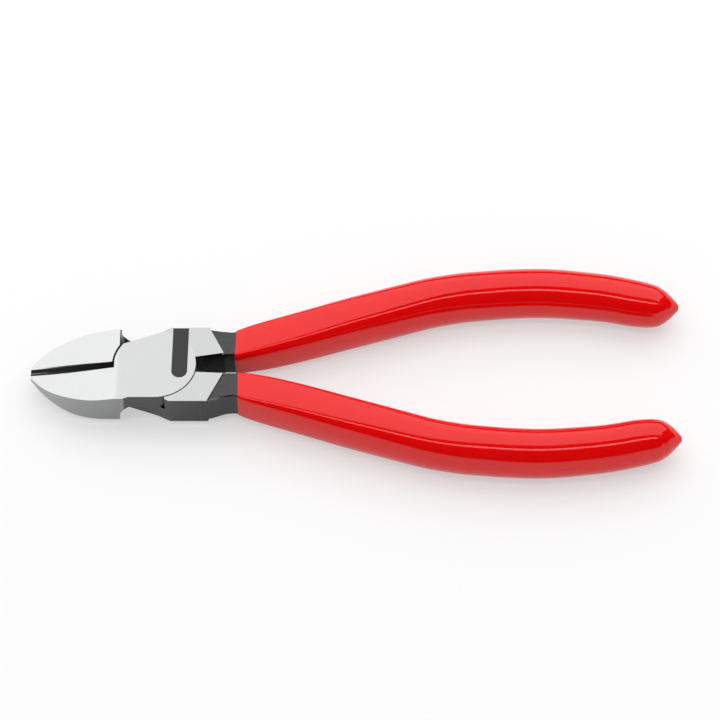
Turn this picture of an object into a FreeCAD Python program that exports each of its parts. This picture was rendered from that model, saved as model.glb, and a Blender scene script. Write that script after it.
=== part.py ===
# Diagonal cutting pliers, 160 mm, with a lap joint and dipped grips. Sizes in millimetres.
#
# The pivot is the Z axis, and z = 0 is the back face of the joint. +X runs from the pivot to the handle
# ends, so the jaws point to -X. The front half has its jaw on the -Y side, and its handle on the +Y side.
# The rear half is the same head, turned half a turn about the X axis at mid thickness, with its jaw ground
# the other way round. Both handles lie a little to the +Y side of the head, and the rear one reaches
# further back.

import FreeCAD
import Part

import math
import os

from FreeCAD import Vector

# Joint
head_thickness = 8.5
joint_radius = 9.9
jaw_side_growth = 0.4  # the joint disc is this much larger on the jaws' side
lap_gap = 0.06  # between the two joint plates
shoulder_clearance = 0.3  # joint disc to the other half's shoulder
jaw_clearance = 0.5  # joint disc to the root of the other half's jaw

# Jaws
jaw_reach = 31.0  # pivot to tip
jaw_step = 0.6  # the jaw's side stands this far out from the joint disc
jaw_wall_inset = 0.95  # the jaw's back wall starts this far inside the joint disc
jaw_wall_lean = 0.2  # and slants this far towards the handles at the jaw's side
jaw_slope_start = 10.0  # the ground front face slopes from here to the tip
jaw_back_corner = 21.2  # the back face slopes from here to the tip
jaw_back_rounding = 14.5  # radius of the rounded start of the back's slope
tip_thickness = 0.9
tip_half_width = 1.6
edge_gap = 0.03  # each cutting edge to the middle plane
bevel_width = 0.85  # front bevel, the same along the edge
bevel_depth_root = 1.5
bevel_depth_tip = 0.35
hollow_width_root = 2.6  # back hollow behind the cutting edge
hollow_width_tip = 0.45
notch_inset = 2.0  # the jaw's side ends this far inside the joint disc
notch_length = 1.5  # slanted step from the jaw's side to the joint plate
root_fillet_radius = 2.7  # from the jaw's back wall to the underside of the joint plate
edge_root_inset = 0.45  # the bevel starts this far inside the jaw's root

# Shoulders
shoulder_step = 1.2  # the shoulder's side stands this far out from the joint disc
shoulder_start_x = 3.6
shoulder_length = 3.0  # past the joint disc
ground_length = 6.8  # the ground face ends on a slanted line from the shoulder's corner to here
ground_end_rise = 0.7
neck_gap_half = 2.3  # between the necks, beside the joint
flank_knee_x = 0.6
flank_knee_drop = 0.4  # the knee lies this far inside the joint disc's height
flank_angle_deg = 142.5  # where the flank leaves the joint disc
relief_angle_deg = 75.5  # where the shoulder's wall leaves the joint disc, for the opening travel
nose_length = 1.1
nose_drop = 0.6

# Badge recess, left bare
badge_x = 5.9
badge_width = 3.9
badge_end_y = -4.0
badge_depth = 0.2

# Rivet, fixed in the front half and turning in the rear half
rivet_radius = 3.5
rivet_running_clearance = 0.03
rivet_blind_depth = 3.0  # into the front half's plate
rivet_head_lip = 1.5
rivet_head_height = 1.6

mid_z = head_thickness / 2
tip_rise = (head_thickness - tip_thickness) / 2
plate_low = mid_z + lap_gap / 2
jaw_side_radius = joint_radius + jaw_side_growth
jaw_root_radius = jaw_side_radius + jaw_clearance
jaw_half_width = joint_radius + jaw_step
jaw_wall_x = -(joint_radius - jaw_wall_inset)
jaw_wall_end_x = jaw_wall_x + jaw_wall_lean
shoulder_half_width = joint_radius + shoulder_step
shoulder_end_x = joint_radius + shoulder_length
ground_face_end_x = joint_radius + ground_length

# Handles. Each station holds x and y of the middle line, then the half width and the half thickness.
front_handle_shift = 0.5  # towards +Y
rear_handle_shift = 0.35  # towards +Y
rear_handle_slide = 0.9  # the rear handle reaches this much further back
shift_run = 3.0  # the shift and the slide grow over this length behind the shoulder
neck_relief = 0.3  # the forged neck lies this far below the ground faces
neck_side_relief = 0.1
neck_inner_relief = 0.3
neck_thickness_half = mid_z - neck_relief
neck_half_width = 3.6
neck_y = 6.2
neck_outer_y = shoulder_half_width - neck_side_relief
neck_inner_y = neck_gap_half + neck_inner_relief
neck_root_y = (neck_outer_y + neck_inner_y) / 2
neck_root_half = (neck_outer_y - neck_inner_y) / 2
neck_stations = [
    (joint_radius + 0.8, neck_root_y, neck_root_half, neck_thickness_half),
    (shoulder_end_x, neck_root_y, neck_root_half, neck_thickness_half),
    (shoulder_end_x + 1.1, neck_root_y - 0.2, neck_root_half - 0.2, neck_thickness_half),
    (shoulder_end_x + 2.5, neck_y + 0.15, neck_half_width + 0.15, neck_thickness_half),
    (shoulder_end_x + 4.3, neck_y, neck_half_width, neck_thickness_half),
]
neck_corner_radius = 0.35
neck_crown_deg = 3.0
# The outside of the grip: as above, then the corner radius, and how far the side and the front turn from
# their middle to the corner.
grip_stations = [
    (19.4, neck_y, 4.20, neck_thickness_half + 0.25, 1.0, 3.0, 4.0),
    (27.0, 8.35, 4.90, 4.88, 1.8, 8.0, 5.0),
    (34.5, 10.70, 5.24, 5.24, 2.3, 12.0, 6.0),
    (53.3, 16.95, 5.74, 5.84, 3.4, 22.0, 11.0),
    (74.4, 22.76, 5.94, 6.04, 4.5, 29.0, 17.0),
    (93.3, 24.22, 5.98, 5.98, 5.0, 30.0, 20.0),
    (109.0, 22.88, 5.79, 5.79, 4.9, 30.0, 20.0),
    (117.0, 21.22, 5.65, 5.65, 4.7, 30.0, 20.0),
    (121.0, 20.40, 5.32, 5.32, 4.4, 30.0, 20.0),
    (123.2, 20.05, 4.85, 4.85, 4.0, 30.0, 20.0),
    (124.8, 19.95, 4.02, 4.02, 3.3, 30.0, 20.0),
    (126.2, 19.90, 2.88, 2.88, 2.3, 30.0, 20.0),
    (127.4, 19.88, 1.68, 1.68, 1.4, 30.0, 20.0),
    (128.1, 19.87, 0.85, 0.85, 0.7, 30.0, 20.0),
    (128.4, 19.87, 0.35, 0.35, 0.28, 30.0, 20.0),
]
tang_end_x = 118.0
section_step = 7.0  # between the sections that shape a handle

turn_axis = Vector(1, 0, 0)


def flat_face(edges):
    """A flat face inside a closed chain of edges."""
    return Part.Face(Part.Wire(Part.__sortEdges__(edges)))


def line(a, b):
    return Part.LineSegment(Vector(*a, 0), Vector(*b, 0)).toShape()


def polar(radius, angle_deg):
    angle = math.radians(angle_deg)
    return (radius * math.cos(angle), radius * math.sin(angle))


def arc(radius, start_deg, end_deg):
    """An arc about the pivot."""
    middle_deg = (start_deg + end_deg) / 2
    ends = [Vector(*polar(radius, a), 0) for a in (start_deg, middle_deg, end_deg)]
    return Part.Arc(*ends).toShape()


def jaw_curve():
    """The outer edge of the front half's jaw, from the tip to the start of its straight back stretch."""
    points = [
        (-jaw_reach, -tip_half_width),
        (-jaw_reach + 3.3, -0.485 * jaw_half_width),
        (-jaw_reach + 7.7, -0.745 * jaw_half_width),
        (-jaw_reach + 12.8, -0.925 * jaw_half_width),
        (-jaw_reach + 20.0, -jaw_half_width),
    ]
    curve = Part.BSplineCurve()
    curve.interpolate(
        Points=[Vector(x, y, 0) for x, y in points],
        InitialTangent=Vector(1, -1.15, 0),
        FinalTangent=Vector(1, 0, 0),
    )
    return curve.toShape(), points[-1]


def neck_inner_corner():
    """Where the neck's inner edge leaves the joint disc."""
    return (math.sqrt(joint_radius**2 - neck_gap_half**2), neck_gap_half)


def ground_end(shift):
    """The slanted end of the ground face: outer and inner point."""
    inner_y = neck_gap_half + ground_end_rise + shift
    return (shoulder_end_x, shoulder_half_width), (ground_face_end_x, inner_y)


def plate_outline(shift):
    """The front half's own joint plate, with its jaw and shoulder, seen from the front."""
    curve, straight_start = jaw_curve()
    disc_bottom = (0.0, -joint_radius)
    root = (-(joint_radius - notch_inset), -jaw_half_width)
    notch = (root[0] + notch_length, -joint_radius)
    slit_y = -edge_gap
    inner = neck_inner_corner()
    outer_end, inner_end = ground_end(shift)
    flank_start = polar(jaw_side_radius, flank_angle_deg)
    knee = (flank_knee_x, joint_radius - flank_knee_drop)
    shoulder = (shoulder_start_x, shoulder_half_width)
    left_deg = 180.0 + math.degrees(math.asin(edge_gap / jaw_side_radius))
    left = polar(jaw_side_radius, left_deg)
    inner_deg = math.degrees(math.atan2(inner[1], inner[0]))
    return flat_face(
        [
            line((-jaw_reach, slit_y), (-jaw_reach, -tip_half_width)),
            curve,
            line(straight_start, root),
            line(root, notch),
            line(notch, disc_bottom),
            arc(joint_radius, -90.0, inner_deg),
            line(inner, inner_end),
            line(inner_end, outer_end),
            line(outer_end, shoulder),
            line(shoulder, knee),
            line(knee, flank_start),
            arc(jaw_side_radius, flank_angle_deg, left_deg),
            line(left, (-jaw_reach, slit_y)),
        ]
    )


def jaw_wall():
    """The jaw's slanted back wall, from the jaw's side to the space for the rear half's joint disc."""
    inner_y = -math.sqrt(jaw_root_radius**2 - jaw_wall_x**2)
    return (jaw_wall_end_x, -jaw_half_width), (jaw_wall_x, inner_y)


def jaw_root_outline():
    """The front half's jaw behind the rear half's joint disc."""
    curve, straight_start = jaw_curve()
    radius = jaw_root_radius
    wall_outer, wall_inner = jaw_wall()
    wall_deg = 360.0 + math.degrees(math.atan2(wall_inner[1], wall_inner[0]))
    slit_deg = 180.0 + math.degrees(math.asin(edge_gap / radius))
    return flat_face(
        [
            line((-jaw_reach, -edge_gap), (-jaw_reach, -tip_half_width)),
            curve,
            line(straight_start, wall_outer),
            line(wall_outer, wall_inner),
            arc(radius, wall_deg, slit_deg),
            line(polar(radius, slit_deg), (-jaw_reach, -edge_gap)),
        ]
    )


def shoulder_outline(shift):
    """The front half's shoulder behind the rear half's joint disc."""
    radius = joint_radius + shoulder_clearance
    inner = (math.sqrt(radius**2 - neck_gap_half**2), neck_gap_half)
    inner_deg = math.degrees(math.atan2(inner[1], inner[0]))
    outer_end, inner_end = ground_end(shift)
    relief = polar(radius, relief_angle_deg)
    nose = (shoulder_start_x - nose_length, shoulder_half_width - nose_drop)
    shoulder = (shoulder_start_x, shoulder_half_width)
    return flat_face(
        [
            line(inner, inner_end),
            line(inner_end, outer_end),
            line(outer_end, shoulder),
            line(shoulder, nose),
            line(nose, relief),
            arc(radius, relief_angle_deg, inner_deg),
        ]
    )


def slab(outline, low_z, high_z):
    raised = outline.copy()
    raised.translate(Vector(0, 0, low_z))
    return raised.extrude(Vector(0, 0, high_z - low_z))


def section(x, y, slope, half_width, half_thickness, corner_radius, crown_deg, lean_deg):
    """A closed section of a handle, square to its middle line, of eight arcs that meet tangent.

    The front and back are crowned, and the sides bulge: each is an arc that turns by twice its angle.
    """
    crown = math.radians(crown_deg)
    lean = math.radians(lean_deg)
    radius = min(corner_radius, 0.95 * half_width, 0.95 * half_thickness)
    rise_top = math.tan(crown / 2)
    rise_side = math.tan(lean / 2)
    centre_t = (half_width - radius - rise_side * (half_thickness - radius)) / (1 - rise_top * rise_side)
    centre_z = half_thickness - radius - rise_top * centre_t

    def corner(angle):
        return centre_t + radius * math.sin(angle), centre_z + radius * math.cos(angle)

    first = corner(crown)
    middle = corner((crown + math.pi / 2 - lean) / 2)
    last = corner(math.pi / 2 - lean)
    across = Vector(-math.sin(slope), math.cos(slope), 0)

    def place(t, z):
        return Vector(x, y, mid_z) + across * t + Vector(0, 0, z)

    quarter = [(0, half_thickness), first, middle, last, (half_width, 0)]
    loop = quarter[1:]
    loop += [(t, -z) for t, z in reversed(quarter[:-1])]
    loop += [(-t, -z) for t, z in quarter[1:]]
    loop += [(-t, z) for t, z in reversed(quarter[:-1])]
    points = [place(t, z) for t, z in loop]
    points.append(points[0])
    edges = [Part.Arc(*points[i : i + 3]).toShape() for i in range(0, 16, 2)]
    return Part.Wire(edges)


def between(stations, x):
    """The station at x: each value follows a cubic that never overshoots its neighbours."""
    last = len(stations) - 1
    index = max(i for i in range(last) if stations[i][0] <= x)
    low, high = stations[index], stations[index + 1]
    width = high[0] - low[0]
    share = (x - low[0]) / width
    found = [x]
    for column in range(1, len(low)):
        steps = [(b[column] - a[column]) / (b[0] - a[0]) for a, b in zip(stations, stations[1:])]
        ends = []
        for i in (index, index + 1):
            before, after = steps[max(i - 1, 0)], steps[min(i, last - 1)]
            ends.append(2 * before * after / (before + after) if before * after > 0 else 0.0)
        rise = high[column] - low[column]
        curve = (3 * share**2 - 2 * share**3) * rise
        curve += width * share * (1 - share) ** 2 * ends[0] - width * share**2 * (1 - share) * ends[1]
        found.append(low[column] + curve)
    return tuple(found)


def filled(stations):
    """The stations with others between them, so that no two are far apart."""
    result = []
    for low, high in zip(stations, stations[1:]):
        count = max(1, round((high[0] - low[0]) / section_step))
        for i in range(count):
            result.append(between(stations, low[0] + (high[0] - low[0]) * i / count))
    return result + [stations[-1]]


def moved(stations, shift, slide):
    """The stations moved sideways and back, by a share that grows from the shoulder to the neck."""
    result = []
    for x, y, *sizes in stations:
        share = min(1.0, max(0.0, (x - shoulder_end_x) / shift_run))
        result.append((x + share * slide, y + share * shift, *sizes))
    return result


def slopes_of(stations):
    """The direction of the middle line at each station."""
    found = []
    for i in range(len(stations)):
        before, after = stations[max(i - 1, 0)], stations[min(i + 1, len(stations) - 1)]
        found.append(math.atan2(after[1] - before[1], after[0] - before[0]))
    return found


def grip_outside(shift, slide):
    stations = moved(filled(grip_stations), shift, slide)
    slopes = slopes_of(stations)
    slopes[0] = 0.0  # the mouth is cut square to the tool
    sections = []
    for (x, y, width, thickness, corner, lean, crown), slope in zip(stations, slopes):
        sections.append(section(x, y, slope, width, thickness, corner, crown, lean))
    return Part.makeLoft(sections, True, False)


def handle_bar(shift, slide):
    """Neck and tang of the front half as one bar."""
    stations = list(neck_stations)
    for x, y, *sizes in filled(grip_stations):
        if x < tang_end_x:
            stations.append((x, y, *neck_stations[-1][2:]))
    stations = moved(stations, shift, slide)
    sections = []
    for (x, y, width, thickness), slope in zip(stations, slopes_of(stations)):
        corner = neck_corner_radius
        sections.append(section(x, y, slope, width, thickness, corner, neck_crown_deg, neck_crown_deg))
    return Part.makeLoft(sections, True, False)


def top_face_z(x):
    """Height of the ground front face of the jaws at x."""
    share = max(0.0, (-x - jaw_slope_start) / (jaw_reach - jaw_slope_start))
    return head_thickness - share * tip_rise


def back_face_z(x):
    """Height of the back face of the jaws at x, without its rounded start."""
    return tip_rise * max(0.0, (-x - jaw_back_corner) / (jaw_reach - jaw_back_corner))


def wedge(sections):
    """A solid between two or more closed polygons, each a list of (x, y, z)."""
    wires = [Part.makePolygon([Vector(*p) for p in s] + [Vector(*s[0])]) for s in sections]
    return Part.makeLoft(wires, True, True)


def jaw_front_cutter():
    """What is ground off the front of both jaws."""
    over = 2.0
    side = 2 * jaw_half_width
    far = -jaw_reach - over
    above = head_thickness + over
    profile = [
        (-jaw_slope_start, head_thickness),
        (far, top_face_z(far)),
        (far, above),
        (-jaw_slope_start, above),
    ]
    return wedge([[(x, y, z) for x, z in profile] for y in (-side, side)])


def jaw_back_cutter():
    """What is ground off the back of both jaws: a slope to the tip, with a rounded start."""
    over = 2.0
    side = 2 * jaw_half_width
    angle = math.atan2(tip_rise, jaw_reach - jaw_back_corner)
    run = jaw_back_rounding * math.tan(angle / 2)
    start_x = run - jaw_back_corner
    far = -jaw_reach - over

    def round_point(turn):
        x = start_x - jaw_back_rounding * math.sin(turn)
        return Vector(x, -side, jaw_back_rounding * (1 - math.cos(turn)))

    start, middle, end = [round_point(t) for t in (0.0, angle / 2, angle)]
    corners = [
        end,
        Vector(far, -side, back_face_z(far)),
        Vector(far, -side, -over),
        Vector(start_x, -side, -over),
        start,
    ]
    edges = [Part.makeLine(a, b) for a, b in zip(corners, corners[1:])]
    edges.append(Part.Arc(start, middle, end).toShape())
    return flat_face(edges).extrude(Vector(0, 2 * side, 0))


def edge_cutter():
    """The front bevel and the back hollow of the front half's cutting edge, as one cutter."""
    over = 1.0
    under = 3.0
    past_tip = 0.2
    root_x = -jaw_root_radius + edge_root_inset
    sections = []
    for x in (root_x, -jaw_reach - past_tip):
        share = (x - root_x) / (-jaw_reach - root_x)
        depth = bevel_depth_root + share * (bevel_depth_tip - bevel_depth_root)
        hollow = hollow_width_root + share * (hollow_width_tip - hollow_width_root)
        top = top_face_z(x)
        bottom = back_face_z(x)
        edge = top - depth
        rise = bevel_width * over / depth
        fall = hollow * under / (edge - bottom)
        sections.append(
            [
                (x, -edge_gap, edge),
                (x, -edge_gap - bevel_width - rise, top + over),
                (x, over, top + over),
                (x, over, bottom - under),
                (x, -edge_gap - hollow - fall, bottom - under),
            ]
        )
    return wedge(sections)


def badge_cutter():
    """The shallow recess with one round end that runs off the shoulder's outer edge."""
    half = badge_width / 2
    far_y = shoulder_half_width + 1.0
    low_z = head_thickness - badge_depth
    length = far_y - badge_end_y - half
    bar = Part.makeBox(badge_width, length, 1.0, Vector(badge_x - half, badge_end_y + half, low_z))
    end = Part.makeCylinder(half, 1.0, Vector(badge_x, badge_end_y + half, low_z))
    return bar.fuse(end)


def turned(shape):
    """The shape turned half a turn about the tool's long axis at mid thickness."""
    copy = shape.copy()
    copy.rotate(Vector(0, 0, mid_z), turn_axis, 180)
    return copy


def jaw_root_fillet(outline):
    """The fillet in the corner between the jaw's back wall and the underside of its joint plate."""
    radius = root_fillet_radius
    inside = radius * (1 - math.sqrt(0.5))
    behind = -1.0  # the bar reaches this far into the wall
    wall_outer, wall_inner = jaw_wall()

    def at(x, drop):
        return Vector(wall_outer[0] + x, wall_outer[1], plate_low - drop)

    edges = [
        Part.Arc(at(radius, 0), at(inside, inside), at(0, radius)).toShape(),
        Part.makeLine(at(0, radius), at(behind, radius)),
        Part.makeLine(at(behind, radius), at(behind, 0)),
        Part.makeLine(at(behind, 0), at(radius, 0)),
    ]
    run = jaw_half_width
    lean = run * (wall_inner[0] - wall_outer[0]) / (wall_inner[1] - wall_outer[1])
    bar = flat_face(edges).extrude(Vector(lean, run, 0))
    disc_space = Part.makeCylinder(jaw_root_radius, head_thickness)
    return bar.common(slab(outline, 0, plate_low)).cut(disc_space)


def blank(shift, slide, ground):
    """A half with its jaw ground and its handle moved, before its edge and rivet hole."""
    outline = plate_outline(shift)
    plate = slab(outline, plate_low, head_thickness)
    jaw = slab(jaw_root_outline(), 0, plate_low)
    shoulder = slab(shoulder_outline(shift), 0, plate_low)
    head = plate.fuse(jaw).fuse(shoulder).fuse(jaw_root_fillet(outline))
    for cutter in ground:
        head = head.cut(cutter)
    return head.removeSplitter().fuse(handle_bar(shift, slide))


def mirrored_y(shape):
    return shape.mirror(Vector(0, 0, 0), Vector(0, 1, 0))


def joint_rivet():
    """The rivet, with its flared head flush with the back face."""
    shank_length = mid_z + rivet_blind_depth - rivet_head_height
    shank = Part.makeCylinder(rivet_radius, shank_length, Vector(0, 0, rivet_head_height))
    head = Part.makeCone(rivet_radius + rivet_head_lip, rivet_radius, rivet_head_height)
    return shank.fuse(head).removeSplitter()


def rivet_hole():
    """The rear half's running bore, with the countersink for the flared head."""
    radius = rivet_radius + rivet_running_clearance
    sink_depth = rivet_head_height + rivet_running_clearance
    bore = Part.makeCylinder(radius, head_thickness)
    return bore.fuse(Part.makeCone(radius + rivet_head_lip, radius, sink_depth))


def write(name, shape):
    shape.exportStep("parts/" + name + ".step")
    print("%-16s solids %d  volume %.1f mm3" % (name, len(shape.Solids), shape.Volume))


def main():
    os.makedirs("parts", exist_ok=True)
    front_move = (front_handle_shift, 0.0)
    rear_move = (-rear_handle_shift, rear_handle_slide)
    ground = [jaw_front_cutter(), jaw_back_cutter()]
    front = blank(*front_move, ground)
    rear = blank(*rear_move, [turned(cutter) for cutter in ground])
    rivet = joint_rivet()
    edge = edge_cutter()
    write("front_half", front.cut([rivet, badge_cutter(), edge]))
    write("rear_half", turned(rear).cut([rivet_hole(), mirrored_y(edge)]))
    write("joint_rivet", rivet)
    write("front_half_grip", grip_outside(*front_move).cut(front))
    write("rear_half_grip", turned(grip_outside(*rear_move).cut(rear)))


main()
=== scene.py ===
import math

import bpy
from mathutils import Matrix, Vector


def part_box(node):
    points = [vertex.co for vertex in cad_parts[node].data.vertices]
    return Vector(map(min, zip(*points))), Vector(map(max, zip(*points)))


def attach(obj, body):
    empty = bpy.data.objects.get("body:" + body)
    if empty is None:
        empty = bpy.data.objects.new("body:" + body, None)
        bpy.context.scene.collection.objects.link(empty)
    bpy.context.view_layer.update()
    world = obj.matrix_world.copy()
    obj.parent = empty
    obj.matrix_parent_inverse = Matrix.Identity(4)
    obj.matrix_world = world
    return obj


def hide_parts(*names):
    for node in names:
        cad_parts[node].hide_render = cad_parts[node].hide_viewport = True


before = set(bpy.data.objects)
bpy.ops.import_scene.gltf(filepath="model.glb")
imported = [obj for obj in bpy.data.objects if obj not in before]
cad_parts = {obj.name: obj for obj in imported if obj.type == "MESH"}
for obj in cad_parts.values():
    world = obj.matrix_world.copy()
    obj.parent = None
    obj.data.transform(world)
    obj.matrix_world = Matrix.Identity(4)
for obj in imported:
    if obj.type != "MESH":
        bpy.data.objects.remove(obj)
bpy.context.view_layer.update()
scene = bpy.context.scene
mm = 0.001

thickness = 8.5  # of the head, mm
gripLow = min(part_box("front_half_grip")[0].z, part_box("rear_half_grip")[0].z)


# Sockets that read as plain sums, for shader and geometry trees alike.
class Sum:
    def __init__(self, graph, socket):
        self.graph = graph
        self.socket = socket

    def math(self, operation, *values):
        return self.graph.add("ShaderNodeMath", {"operation": operation}, [self, *values])

    def __add__(self, other):
        return self.math("ADD", other)

    def __radd__(self, other):
        return self.math("ADD", other)

    def __sub__(self, other):
        return self.math("SUBTRACT", other)

    def __rsub__(self, other):
        return self.graph.add("ShaderNodeMath", {"operation": "SUBTRACT"}, [other, self])

    def __mul__(self, other):
        return self.math("MULTIPLY", other)

    def __rmul__(self, other):
        return self.math("MULTIPLY", other)

    def __truediv__(self, other):
        return self.math("DIVIDE", other)

    def __rtruediv__(self, other):
        return self.graph.add("ShaderNodeMath", {"operation": "DIVIDE"}, [other, self])

    def __neg__(self):
        return self.math("MULTIPLY", -1.0)

    def sin(self):
        return self.math("SINE")

    def cos(self):
        return self.math("COSINE")

    def floor(self):
        return self.math("FLOOR")

    def abs(self):
        return self.math("ABSOLUTE")

    def least(self, other):
        return self.math("MINIMUM", other)

    def most(self, other):
        return self.math("MAXIMUM", other)

    def above(self, edge, soft):
        # 0 below edge - soft, 1 above edge + soft
        return self.graph.add(
            "ShaderNodeMapRange",
            {"interpolation_type": "SMOOTHSTEP"},
            {"Value": self, "From Min": edge - soft, "From Max": edge + soft},
        )

    def below(self, edge, soft):
        return 1 - self.above(edge, soft)

    def xyz(self):
        return [self.graph.add("ShaderNodeSeparateXYZ", {}, [self], out) for out in range(3)]


class Graph:
    def __init__(self, tree):
        self.tree = tree

    def plug(self, target, value):
        if isinstance(value, Sum):
            self.tree.links.new(value.socket, target)
        elif value is not None:
            target.default_value = value

    # One node: its settings first, then the values or links of its inputs. Gives one output, or the node.
    def add(self, kind, settings=None, values=(), out=0):
        node = self.tree.nodes.new(kind)
        for key, value in (settings or {}).items():
            setattr(node, key, value)
        pairs = values.items() if isinstance(values, dict) else enumerate(values)
        for key, value in pairs:
            self.plug(node.inputs[key], value)
        if out is None:
            return node
        return Sum(self, node.outputs[out])

    def mix(self, share, first, second):
        # colours only, numbers are mixed with plain sums
        node = self.add("ShaderNodeMix", {"data_type": "RGBA"}, (), None)
        self.plug(node.inputs[0], share)
        self.plug(node.inputs[6], first)
        self.plug(node.inputs[7], second)
        return Sum(self, node.outputs[2])

    def vector(self, operation, *values):
        return self.add("ShaderNodeVectorMath", {"operation": operation}, values)

    def noise(self, place, scale, detail=3.0, roughness=0.5):
        return self.add(
            "ShaderNodeTexNoise",
            {},
            {"Vector": place, "Scale": scale, "Detail": detail, "Roughness": roughness},
        )

    def scale(self, vector, amount):
        return self.add("ShaderNodeVectorMath", {"operation": "SCALE"}, {0: vector, "Scale": amount})

    # the height is in metres already
    def bump(self, height):
        return self.add("ShaderNodeBump", {}, {"Height": height, "Distance": 1.0, "Strength": 1.0})


def grey(level):
    return (level, level, level, 1.0)


def newMaterial(name):
    material = bpy.data.materials.new(name)
    material.use_nodes = True
    material.node_tree.nodes.clear()
    return material, Graph(material.node_tree)


# A piece's own coordinates, in millimetres.
def ownPlace(graph):
    return graph.scale(graph.add("ShaderNodeTexCoord", {}, (), "Object"), 1 / mm)


def finishMaterial(graph, fixed, varying):
    shader = graph.add("ShaderNodeBsdfPrincipled", {}, {**fixed, **varying}, None)
    graph.add("ShaderNodeOutputMaterial", {}, {"Surface": Sum(graph, shader.outputs[0])}, None)


# Steel of the two forgings: ground faces, darker sides, oxide-black necks.
steel = {
    "jawFace": 0.64,
    "jointFace": 0.555,
    "shoulderFace": 0.52,
    "jawSide": 0.38,
    "shoulderSide": 0.10,
    "neck": 0.068,
    "gapShade": 0.007,
    "lap": 0.035,
    "corner": 0.12,  # behind the front half's jaw: forge oxide with painted shade, lighter than the rear half's
    "shadedSlit": 0.05,
    "badge": 0.022,
    "edgeHighlightGain": 3.0,
    "faceRoughness": 0.30,
    "sideRoughness": 0.34,
    "neckRoughness": 0.20,
    "slitRoughness": 0.75,
    "grindDepth": 0.004,  # mm
    "forgeDepth": 0.10,  # mm
}
# Where the steel changes, in mm from the pivot.
steelPlace = {
    # the crease also ends the painted reflection on the jaw's face
    "creaseX": -9.4,  # the jaw's ground face begins to slope
    "rearCrease": 1.0,  # and this much nearer the pivot on the rear half
    "jawBodyX": -7.6,  # the jaw's ground side ends
    "jawWallX": -9.1,  # its back wall
    "wallDepth": 0.7,
    "slitEndX": -10.2,
    "slitHalf": 0.93,
    "slitDepth": 0.6,  # the slit shows down to this far behind the middle
    "lapEndX": -10.6,
    "cornerEndX": -4.0,
    "rootEndX": -7.0,
    "rootRadius": 10.9,  # the jaw's root wall lies inside this
    "discRadius": 9.9,
}
badge = {"x": 5.9, "endY": -4.0, "width": 3.9}  # mm
groundEnd = {"outer": (12.9, 11.1), "inner": (16.7, 3.0)}  # mm, before the handle's shift


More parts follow.
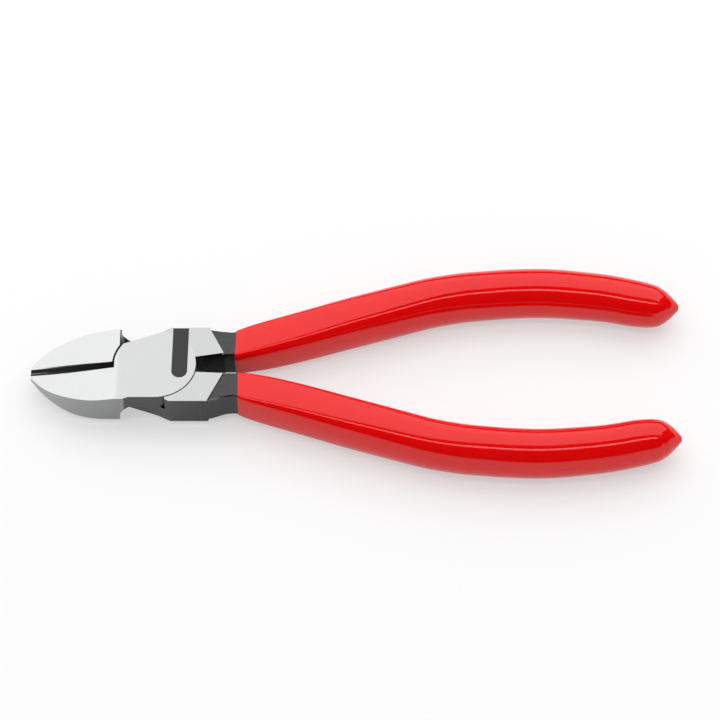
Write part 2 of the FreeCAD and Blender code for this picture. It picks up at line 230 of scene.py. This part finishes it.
def forgedSteel(name, turned):
    material, g = newMaterial(name)
    place = ownPlace(g)
    x, y, z = place.xyz()
    nx, ny, nz = g.add("ShaderNodeTexCoord", {}, (), "Normal").xyz()
    if turned:  # the rear half's head is the front half's, turned about X
        y = -y
        z = thickness - z
        ny = -ny
        nz = -nz

    flat = nz.abs().above(0.86, 0.05)
    # signed distance from the slanted end of the ground face, positive on the neck's side
    (x0, y0), (x1, y1) = groundEnd["outer"], groundEnd["inner"]
    y1 = y1 - grip["rear"]["shift"] if turned else y1 + grip["front"]["shift"]
    length = math.hypot(x1 - x0, y1 - y0)
    past = (x - x0) * ((y0 - y1) / length) + (y - y0) * ((x1 - x0) / length)
    pastGround = past.above(0.0, 0.06)
    # painted reflection: out to the crease the jaw's face is painted lighter than the joint's face, the
    # rear half's crease nearer the pivot
    crease = steelPlace["creaseX"] + (steelPlace["rearCrease"] if turned else 0.0)
    jaw = x.below(crease, 0.7)
    jawBody = x.below(steelPlace["jawBodyX"], 0.25)
    shoulder = (x * x + y * y).above((steelPlace["discRadius"] + 0.1) ** 2, 0.5) * x.above(0.0, 0.5)

    cloud = g.noise(place, 0.16, 3.0, 0.55)
    fine = g.noise(place, 1.1, 4.0, 0.6)
    # grinding marks run across the head
    grindPlace = g.vector("MULTIPLY", place, (9.0, 0.35, 0.35))
    grind = g.noise(grindPlace, 1.0, 5.0, 0.65)
    tone = 0.93 + 0.10 * cloud + 0.04 * fine
    tone = tone - 0.05 * (grind - 0.5)

    face = steel["jointFace"] + jaw * (steel["jawFace"] - steel["jointFace"])
    face = face + shoulder * (steel["shoulderFace"] - steel["jointFace"])
    side = steel["shoulderSide"] + jawBody * (steel["jawSide"] - steel["shoulderSide"])
    # the jaw's side darkens towards the joint, the shoulder's side towards the handle
    side = side * (1.0 - jawBody * 0.22 * x.above(-18.0, 11.0)) * (1.0 - 0.35 * x.above(8.0, 8.0))
    # painted shade: the necks' inner walls facing the gap between the handles are painted near black
    shadedInnerSide = (1 - jawBody) * x.above(6.0, 1.0) * (1 - y.abs().above(4.6, 0.6))
    side = side * (1 - shadedInnerSide) + shadedInnerSide * steel["gapShade"]
    level = side + flat * (face - side)

    # painted shade also darkens the necks' inner walls
    neckLevel = steel["neck"] * (0.8 + 0.4 * fine) * (1 - 0.6 * shadedInnerSide * (1 - flat))
    # painted highlight: wavy bright spots along the neck's rounded edge at the forging's parting line,
    # and painted shade on the rest of that edge
    edge = nz.abs().above(0.3, 0.1) * nz.abs().below(0.97, 0.02) * (1 - shadedInnerSide)
    highlightWave = g.noise(place, 0.55, 3.0, 0.6).above(0.47, 0.08)
    neckLevel = neckLevel * (1 - edge * 0.4 + edge * highlightWave * steel["edgeHighlightGain"])
    level = level * (1 - pastGround) + neckLevel * pastGround

    half = thickness / 2
    front = thickness - z if turned else z
    # painted shade in the slit between the cutting edges, painted lighter on the bevel whose normal
    # points towards +y
    shadedSlit = x.below(steelPlace["slitEndX"], 0.1) * y.abs().below(steelPlace["slitHalf"], 0.04)
    shadedSlit = shadedSlit * front.above(half - steelPlace["slitDepth"], 0.3)
    level = level * (1 - shadedSlit) + shadedSlit * steel["shadedSlit"] * (1 + 0.5 * ny)

    # the lapped faces, the root of the jaw and the corner behind it are dark: forge oxide, with painted
    # shade in the hollows behind the jaw
    middle = (z - half).abs()
    lapped = flat * middle.below(1.0, 0.3) * x.above(steelPlace["lapEndX"], 0.1)
    backHalf = z.below(half + 0.04, 0.02)
    beforeCorner = x.below(steelPlace["cornerEndX"], 0.5)
    behindJaw = x.above(steelPlace["jawWallX"], 0.1) * beforeCorner * ny.abs().below(0.75, 0.1)
    jawRoot = (x * x + y * y).below(steelPlace["rootRadius"] ** 2, 0.8) * (1 - flat)
    jawRoot = jawRoot * x.below(steelPlace["rootEndX"], 0.5)
    wallStart = steelPlace["jawWallX"] - steelPlace["wallDepth"]
    jawWall = nx.above(0.5, 0.1) * x.above(wallStart, 0.1) * beforeCorner
    lap = lapped.most(behindJaw.most(jawRoot).most(jawWall) * backHalf)
    level = level * (1 - lap) + lap * (steel["lap"] if turned else steel["corner"])

    # the shallow recess keeps a plain dark filling
    reach = (y - badge["endY"] - badge["width"] / 2).least(0.0)
    run = ((x - badge["x"]) * (x - badge["x"]) + reach * reach).math("SQRT")
    recess = run.below(badge["width"] / 2 + 0.02, 0.04) * z.below(thickness - 0.12, 0.03)
    recess = recess * z.above(thickness - 0.4, 0.05) * (0.0 if turned else 1.0)
    level = level * (1 - recess) + recess * steel["badge"]
    level = level * tone

    colour = g.add("ShaderNodeCombineColor", {}, [level * 1.0, level * 1.008, level * 1.012])
    dark = pastGround.most(recess).most(shadedSlit).most(lap)
    rough = steel["faceRoughness"] + (1 - flat) * (steel["sideRoughness"] - steel["faceRoughness"])
    rough = rough + 0.10 * (cloud - 0.5) + 0.06 * (grind - 0.5)
    rough = rough * (1 - dark) + dark * (steel["neckRoughness"] + 0.10 * (fine - 0.5))
    rough = rough + recess * 0.18 + shadedSlit * (steel["slitRoughness"] - steel["neckRoughness"])
    metal = 1 - 0.75 * recess

    marks = grind * (1 - dark) * steel["grindDepth"]
    forge = g.noise(place, 0.42, 2.0, 0.4) * pastGround * steel["forgeDepth"]
    height = (marks + forge) * mm
    normal = g.bump(height)
    finishMaterial(
        g,
        {},
        {"Base Color": colour, "Metallic": metal, "Roughness": rough, "Normal": normal},
    )
    return material


# The rivet's head is turned on a lathe.
rivet = {"level": 0.44, "roughness": 0.28, "ringPitch": 0.22, "ringDepth": 0.003}  # mm


def turnedSteel(name):
    material, g = newMaterial(name)
    place = ownPlace(g)
    x, y, z = place.xyz()
    radius = (x * x + y * y).math("SQRT")
    wobble = g.noise(place, 0.9, 3.0, 0.6)
    rings = (radius * (2 * math.pi / rivet["ringPitch"]) + wobble * 2.5).sin()
    level = rivet["level"] * (0.92 + 0.12 * wobble + 0.03 * rings)
    colour = g.add("ShaderNodeCombineColor", {}, [level * 1.0, level * 1.005, level * 1.01])
    rough = rivet["roughness"] + 0.05 * rings + 0.10 * (wobble - 0.5)
    normal = g.bump(rings * (rivet["ringDepth"] * mm))
    finishMaterial(
        g,
        {"Metallic": 1.0},
        {"Base Color": colour, "Roughness": rough, "Normal": normal},
    )
    return material


# Dipped vinyl: glossy, even red, with the slight ripple of a poured skin.
vinyl = {
    "red": (0.73, 0.0008, 0.0012, 1.0),
    "deepRed": (0.62, 0.0006, 0.0008, 1.0),
    "roughness": 0.08,
    "rippleDepth": 0.010,  # mm
    "grainDepth": 0.0004,  # mm
}


def dippedVinyl(name):
    material, g = newMaterial(name)
    place = ownPlace(g)
    flow = g.noise(g.vector("MULTIPLY", place, (0.35, 1.0, 1.0)), 0.16, 2.0, 0.45)
    grain = g.noise(place, 2.6, 3.0, 0.55)
    scuff = g.noise(g.vector("MULTIPLY", place, (0.25, 1.6, 1.6)), 0.7, 5.0, 0.7)
    colour = g.mix(flow.above(0.5, 0.35) * 0.25, vinyl["red"], vinyl["deepRed"])
    rough = vinyl["roughness"] + 0.03 * (flow - 0.5) + 0.06 * scuff.above(0.68, 0.08)
    height = (flow * vinyl["rippleDepth"] + grain * vinyl["grainDepth"]) * mm
    normal = g.bump(height)
    finishMaterial(
        g,
        {"Metallic": 0.0, "IOR": 1.5},
        {"Base Color": colour, "Roughness": rough, "Normal": normal},
    )
    return material


# Grips: a skin swept along the handle's middle line. A station is x, y, half width, half thickness and
# corner radius in mm, then how far the side and the front turn from their middle to the corner, in
# degrees, and how square the section is cut to the tool's long axis.
grip = {
    "ringsPerStep": 10,
    "sides": 80,
    "midZ": 4.25,
    "front": {"slide": 0.0, "shift": 0.5},  # mm, towards +X and +Y
    "rear": {"slide": 0.9, "shift": 0.35},
    "innerWidth": 3.45,  # mm, half sizes of the mouth's inner edge, under the steel's surface
    "innerThickness": 3.8,
    "stations": [
        (19.4, 6.20, 4.20, 4.20, 1.00, 3.0, 4.0, 1.0),
        (23.0, 7.21, 4.56, 4.55, 1.40, 5.4, 4.5, 0.5),
        (27.0, 8.35, 4.90, 4.88, 1.80, 8.0, 5.0, 0.0),
        (30.7, 9.49, 5.09, 5.08, 2.06, 10.0, 5.5, 0.0),
        (34.5, 10.70, 5.24, 5.24, 2.30, 12.0, 6.0, 0.0),
        (40.0, 12.54, 5.42, 5.45, 2.64, 15.1, 7.2, 0.0),
        (46.5, 14.76, 5.60, 5.68, 3.02, 18.7, 9.0, 0.0),
        (53.3, 16.95, 5.74, 5.84, 3.40, 22.0, 11.0, 0.0),
        (60.0, 19.10, 5.83, 5.93, 3.78, 24.8, 13.0, 0.0),
        (67.0, 21.25, 5.90, 6.01, 4.17, 27.4, 15.1, 0.0),
        (74.4, 22.76, 5.94, 6.04, 4.50, 29.0, 17.0, 0.0),
        (80.5, 23.46, 5.96, 6.03, 4.72, 29.5, 18.3, 0.0),
        (87.0, 24.01, 5.97, 6.01, 4.92, 29.9, 19.5, 0.0),
        (93.3, 24.22, 5.98, 5.98, 5.00, 30.0, 20.0, 0.0),
        (98.5, 24.02, 5.95, 5.94, 4.99, 30.0, 20.0, 0.0),
        (104.0, 23.48, 5.87, 5.86, 4.95, 30.0, 20.0, 0.0),
        (109.0, 22.88, 5.79, 5.79, 4.90, 30.0, 20.0, 0.0),
        (113.0, 22.14, 5.73, 5.73, 4.83, 30.0, 20.0, 0.0),
        (117.0, 21.22, 5.65, 5.65, 4.70, 30.0, 20.0, 0.0),
        (119.2, 20.75, 5.51, 5.51, 4.57, 30.0, 20.0, 0.0),
        (121.0, 20.40, 5.32, 5.32, 4.40, 30.0, 20.0, 0.0),
        (122.3, 20.17, 5.09, 5.09, 4.20, 30.0, 20.0, 0.0),
        (123.4, 20.03, 4.78, 4.78, 3.94, 30.0, 20.0, 0.0),
        (124.4, 19.97, 4.27, 4.27, 3.51, 30.0, 20.0, 0.0),
        (125.2, 19.93, 3.74, 3.74, 3.05, 30.0, 20.0, 0.0),
        (126.0, 19.90, 3.06, 3.06, 2.45, 30.0, 20.0, 0.0),
        (126.6, 19.89, 2.51, 2.51, 2.01, 30.0, 20.0, 0.0),
        (127.2, 19.88, 1.89, 1.89, 1.57, 30.0, 20.0, 0.0),
        (127.7, 19.87, 1.35, 1.35, 1.13, 30.0, 20.0, 0.0),
        (128.1, 19.87, 0.85, 0.85, 0.70, 30.0, 20.0, 0.0),
        (128.35, 19.87, 0.45, 0.45, 0.36, 30.0, 20.0, 0.0),
        (128.4, 19.87, 0.02, 0.02, 0.015, 30.0, 20.0, 0.0),
    ],
}
stationNames = ["halfWidth", "halfThickness", "corner", "lean", "crown", "square"]
angleNames = ["lean", "crown"]


def gripTree():
    tree = bpy.data.node_groups.new("dippedSkin", "GeometryNodeTree")
    face = tree.interface
    face.new_socket("Geometry", in_out="INPUT", socket_type="NodeSocketGeometry")
    for label, kind, value in (
        ("Rings Per Step", "NodeSocketInt", 8),
        ("Sides", "NodeSocketInt", 64),
        ("Material", "NodeSocketMaterial", None),
    ):
        socket = face.new_socket(label, in_out="INPUT", socket_type=kind)
        if value is not None:
            socket.default_value = value
    face.new_socket("Geometry", in_out="OUTPUT", socket_type="NodeSocketGeometry")
    g = Graph(tree)
    start = g.add("NodeGroupInput", {}, (), None)

    def given(label):
        return Sum(g, start.outputs[label])

    # the middle line, smooth through its stations
    line = g.add("GeometryNodeMeshToCurve", {}, [given("Geometry")])
    line = g.add("GeometryNodeCurveSplineType", {"spline_type": "CATMULL_ROM"}, [line])
    line = g.add(
        "GeometryNodeSetSplineResolution",
        {},
        {"Geometry": line, "Resolution": given("Rings Per Step")},
    )
    line = g.add("GeometryNodeResampleCurve", {"mode": "EVALUATED"}, [line])
    rings = g.add("GeometryNodeAttributeDomainSize", {"component": "CURVE"}, {"Geometry": line})

    sheet = g.add(
        "GeometryNodeMeshGrid",
        {},
        {"Size X": 1.0, "Size Y": 1.0, "Vertices X": rings, "Vertices Y": given("Sides") + 1},
    )
    along, around = g.add("GeometryNodeInputPosition").xyz()[:2]
    ring = ((along + 0.5) * (rings - 1)).math("ROUND")
    around = around + 0.5

    def sample(kind, field):
        node = g.add("GeometryNodeSampleIndex", {"data_type": kind, "clamp": True}, (), None)
        g.plug(node.inputs["Geometry"], line)
        g.plug(node.inputs["Value"], field)
        g.plug(node.inputs["Index"], ring)
        return Sum(g, node.outputs["Value"])

    laws = []
    for name in stationNames:
        field = g.add("GeometryNodeInputNamedAttribute", {"data_type": "FLOAT"}, {"Name": name})
        laws.append(sample("FLOAT", field))
    width, height, radius, lean, crown, square = laws

    # fold the way round into one quarter: 0 at the front's middle, 1 at the side's middle
    turn = around * 4.0
    quarter = turn.floor().least(3.0)
    part = turn - quarter
    odd = quarter.math("MODULO", 2.0)
    part = part + odd * (1 - 2 * part)
    sideSign = 1 - 2 * quarter.above(1.5, 0.01)
    frontSign = 1 - 2 * (quarter.above(0.5, 0.01) - quarter.above(2.5, 0.01))

    def ramp(low, high):
        return ((part - low) / (high - low)).most(0.0).least(1.0)

    # the angle of the surface, over the crown's arc, the corner's and the side's
    top = crown
    end = math.pi / 2 - lean
    angle = top * ramp(0.0, 0.3) + (end - top) * ramp(0.3, 0.7) + lean * ramp(0.7, 1.0)
    riseTop = (top / 2).math("TANGENT")
    riseSide = (lean / 2).math("TANGENT")
    centreSide = (width - radius - riseSide * (height - radius)) / (1 - riseTop * riseSide)
    centreFront = height - radius - riseTop * centreSide
    topRadius = centreSide / top.sin() + radius
    sideRadius = centreFront / lean.sin() + radius
    first = angle.least(top)
    second = angle.most(top).least(end)
    third = angle.most(end)
    out = topRadius * first.sin() + radius * (second.sin() - top.sin())
    out = out + sideRadius * (third.sin() - end.sin())
    up = height + topRadius * (first.cos() - 1) + radius * (second.cos() - top.cos())
    up = up + sideRadius * (third.cos() - end.cos())

    centre = sample("FLOAT_VECTOR", g.add("GeometryNodeInputPosition"))
    tangent = sample("FLOAT_VECTOR", g.add("GeometryNodeInputTangent"))

    level = g.vector("CROSS_PRODUCT", (0, 0, 1), tangent)
    across = g.vector("ADD", g.scale(level, 1 - square), g.scale((0, 1, 0), square))
    across = g.vector("NORMALIZE", across)
    offset = g.vector("ADD", g.scale(across, out * sideSign), g.scale((0, 0, 1), up * frontSign))
    place = g.vector("ADD", centre, offset)
    sheet = g.add("GeometryNodeSetPosition", {}, {"Geometry": sheet, "Position": place})
    sheet = g.add("GeometryNodeMergeByDistance", {}, {"Geometry": sheet, "Distance": 0.004 * mm})
    sheet = g.add("GeometryNodeSetShadeSmooth", {}, [sheet])
    sheet = g.add("GeometryNodeRealizeInstances", {}, [sheet])
    sheet = g.add("GeometryNodeSetMaterial", {}, {"Geometry": sheet, "Material": given("Material")})
    g.add("NodeGroupOutput", {}, [sheet], None)
    return tree


def makeGrip(name, tree, sign, move, material):
    stations = grip["stations"]
    x, y, width, height, *shape = stations[0]
    # the mouth closes inwards under the steel's surface, then rounds out to the full coat
    mouth = [
        (x, y, 0.05, 0.05, 0.04, *shape[1:]),
        (x + 0.005, y, grip["innerWidth"], grip["innerThickness"], 0.5, *shape[1:]),
        (x + 0.02, y, width - 0.35, height - 0.18, 0.8, *shape[1:]),
        (x + 0.12, y, width - 0.10, height - 0.06, *shape),
        (x + 0.40, y + 0.1, width, height, *shape),
    ]
    rows = mouth + stations[1:]
    data = bpy.data.meshes.new(name + "Line")
    points = []
    for row in rows:
        pointX = row[0] + move["slide"]
        pointY = row[1] * sign + move["shift"]
        points.append((pointX * mm, pointY * mm, grip["midZ"] * mm))
    data.from_pydata(points, [(i, i + 1) for i in range(len(points) - 1)], [])
    for column, label in enumerate(stationNames):
        values = [row[2 + column] for row in rows]
        if label in angleNames:
            values = [math.radians(v) for v in values]
        elif label != "square":
            values = [v * mm for v in values]
        attribute = data.attributes.new(label, "FLOAT", "POINT")
        attribute.data.foreach_set("value", values)
    line = bpy.data.objects.new(name + "Line", data)
    scene.collection.objects.link(line)
    modifier = line.modifiers.new("skin", "NODES")
    modifier.node_group = tree
    sockets = {s.name: s.identifier for s in tree.interface.items_tree if s.in_out == "INPUT"}
    modifier[sockets["Rings Per Step"]] = grip["ringsPerStep"]
    modifier[sockets["Sides"]] = grip["sides"]
    modifier[sockets["Material"]] = material
    evaluated = line.evaluated_get(bpy.context.evaluated_depsgraph_get())
    mesh = bpy.data.meshes.new_from_object(evaluated)
    mesh.name = name
    bpy.data.objects.remove(line)
    piece = bpy.data.objects.new(name, mesh)
    scene.collection.objects.link(piece)
    return piece


def paint(piece, material):
    piece.data.materials.clear()
    piece.data.materials.append(material)


print("steel")
paint(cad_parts["front_half"], forgedSteel("forgedSteelFront", False))
paint(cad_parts["rear_half"], forgedSteel("forgedSteelRear", True))
paint(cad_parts["joint_rivet"], turnedSteel("turnedSteel"))

print("grips")
vinylMaterial = dippedVinyl("dippedVinyl")
skin = gripTree()
for name, node, body, sign, side in (
    ("frontGripSkin", "front_half_grip", "front_lever", 1, "front"),
    ("rearGripSkin", "rear_half_grip", "rear_lever", -1, "rear"),
):
    piece = makeGrip(name, skin, sign, grip[side], vinylMaterial)
    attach(piece, body)
    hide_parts(node)
    print(name, len(piece.data.polygons), "faces")


print("studio")
studio = {
    "centre": (0.050289, 0.000842, 0.009096),  # what the camera looks at
    "tilt": 36.0,  # degrees from straight down
    "roll": -2.5,  # degrees
    "distance": 1.9,
    "lens": 387.0,
    "ambient": 0.62,
    "floorWhite": 0.80,
    "floorGlow": 0.46,  # share of the floor that is plain white to the camera
    "floorHalf": 6.0,
    "wallTop": 0.09,  # sine of the height where the white walls end
    "wallSoft": 0.05,
    "ceiling": 0.02,
}
lamps = [
    # name, direction from the object, distance, size across and along, radiance
    ("backSoftbox", (0.0, 0.62, 0.785), 1.0, (2.3, 1.235), 1.34),
    ("frontStrip", (0.0, -0.22, 0.975), 1.0, (1.5, 0.14), 3.2),
]


def makeCamera():
    tilt, roll = math.radians(studio["tilt"]), math.radians(studio["roll"])
    level = Vector((1, 0, 0))
    up = Vector((0, math.cos(tilt), math.sin(tilt)))
    down = Vector((0, -math.sin(tilt), math.cos(tilt)))
    right = math.cos(roll) * level + math.sin(roll) * down
    back = right.cross(up)
    place = Vector(studio["centre"]) + back * studio["distance"]
    data = bpy.data.cameras.new("camera")
    data.lens = studio["lens"]
    data.clip_start = 0.1
    data.clip_end = 20.0
    camera = bpy.data.objects.new("camera", data)
    turn = Matrix((right, up, back)).transposed()
    camera.matrix_world = Matrix.Translation(place) @ turn.to_4x4()
    scene.collection.objects.link(camera)
    scene.camera = camera


def makeLamp(name, direction, distance, size, radiance):
    data = bpy.data.lights.new(name, "AREA")
    data.shape = "RECTANGLE"
    data.size, data.size_y = size
    data.energy = radiance * math.pi * size[0] * size[1]
    lamp = bpy.data.objects.new(name, data)
    back = Vector(direction).normalized()
    across = Vector((1, 0, 0))
    across = (across - back * across.dot(back)).normalized()
    turn = Matrix((across, back.cross(across), back)).transposed()
    lamp.matrix_world = Matrix.Translation(Vector(studio["centre"]) + back * distance) @ turn.to_4x4()
    scene.collection.objects.link(lamp)


def makeFloor():
    material, g = newMaterial("paleFloor")
    path = g.add("ShaderNodeLightPath", {}, (), None)
    seen = Sum(g, path.outputs["Is Camera Ray"]) + Sum(g, path.outputs["Is Glossy Ray"])
    seen = (seen + Sum(g, path.outputs["Is Transmission Ray"])).least(1.0)
    matt = g.add("ShaderNodeBsdfDiffuse", {}, {"Color": grey(studio["floorWhite"])})
    glow = g.add("ShaderNodeEmission", {}, {"Color": grey(1.0), "Strength": 1.0})
    both = g.add("ShaderNodeMixShader", {}, [seen * studio["floorGlow"], matt, glow])
    g.add("ShaderNodeOutputMaterial", {}, {"Surface": both}, None)
    size = studio["floorHalf"]
    data = bpy.data.meshes.new("paleFloor")
    corners = [(-size, -size), (size, -size), (size, size), (-size, size)]
    data.from_pydata([(x, y, gripLow) for x, y in corners], [], [(0, 1, 2, 3)])
    data.materials.append(material)
    floor = bpy.data.objects.new("paleFloor", data)
    scene.collection.objects.link(floor)


def makeWorld():
    world = bpy.data.worlds.new("studio")
    world.use_nodes = True
    world.node_tree.nodes.clear()
    g = Graph(world.node_tree)
    path = g.add("ShaderNodeLightPath", {}, (), None)
    camera = Sum(g, path.outputs["Is Camera Ray"])
    shiny = Sum(g, path.outputs["Is Glossy Ray"]) + Sum(g, path.outputs["Is Transmission Ray"])
    # white walls to about 5 degrees up, under a dark ceiling that only shiny things show
    height = g.add("ShaderNodeTexCoord", {}, (), "Generated").xyz()[2]
    wall = height.below(studio["wallTop"], studio["wallSoft"])
    ceiling = studio["ceiling"]
    level = studio["ambient"] * (1 - shiny) + shiny * (ceiling + (1 - ceiling) * wall)
    level = level * (1 - camera) + camera
    back = g.add("ShaderNodeBackground", {}, {"Color": grey(1.0), "Strength": level})
    g.add("ShaderNodeOutputWorld", {}, {"Surface": back}, None)
    scene.world = world


makeCamera()
for lamp in lamps:
    makeLamp(*lamp)
makeFloor()
makeWorld()
scene.view_settings.view_transform = "Standard"
